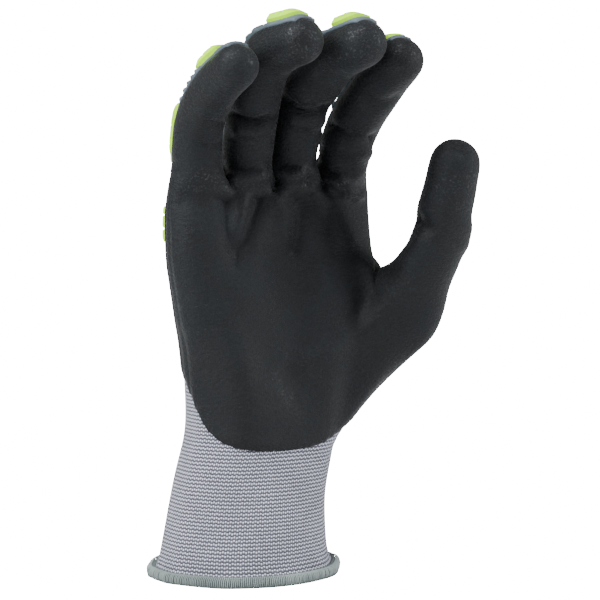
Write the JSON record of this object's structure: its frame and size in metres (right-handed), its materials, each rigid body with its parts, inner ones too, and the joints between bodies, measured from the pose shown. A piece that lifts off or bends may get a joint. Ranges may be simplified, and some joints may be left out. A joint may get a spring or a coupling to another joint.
{
  "type": "impact glove",
  "caption": "Right-hand work glove shown as worn: striped knit body, dark foam-coated palm and fingers, raised yellow-green rubber impact pads on grey strips over the back.",
  "frame": {"origin": "centre of the wrist opening, level with the lower edge of the cuff", "axes": "+Z from the cuff to the fingertips, -Y the way the palm faces, +X towards the thumb side"},
  "size_m": [0.1232, 0.0986, 0.2315],
  "materials": {
    "knit": "fine striped knit, light and grey-violet courses",
    "coat": "matte foam-dipped coat with fine pores",
    "binding": "overlocked yarn, matte",
    "guard_rubber": "matte moulded rubber, slate grey",
    "pad_rubber": "satin moulded rubber, bright yellow-green"
  },
  "bodies": {
    "root": {"knit_hand": "knit", "knit_pinky": "knit", "knit_ring": "knit", "knit_middle": "knit", "knit_index": "knit", "knit_thumb": "knit", "palm_coating": "coat", "cuff_binding": "binding", "guard_base_pinky": "guard_rubber", "guard_base_ring": "guard_rubber", "guard_base_middle": "guard_rubber", "guard_base_index": "guard_rubber", "hand_guard_base": "guard_rubber", "guard_pad_pinky_root": "pad_rubber", "guard_pad_pinky_tip": "pad_rubber", "guard_pad_ring_root": "pad_rubber", "guard_pad_ring_tip": "pad_rubber", "guard_pad_middle_root": "pad_rubber", "guard_pad_middle_tip": "pad_rubber", "guard_pad_index_root": "pad_rubber", "guard_pad_index_tip": "pad_rubber", "knuckle_pad_pinky": "pad_rubber", "hand_pad_pinky": "pad_rubber", "knuckle_pad_ring": "pad_rubber", "hand_pad_ring": "pad_rubber", "knuckle_pad_middle": "pad_rubber", "hand_pad_middle": "pad_rubber", "knuckle_pad_index": "pad_rubber", "hand_pad_index": "pad_rubber"}
  },
  "joints": []
}
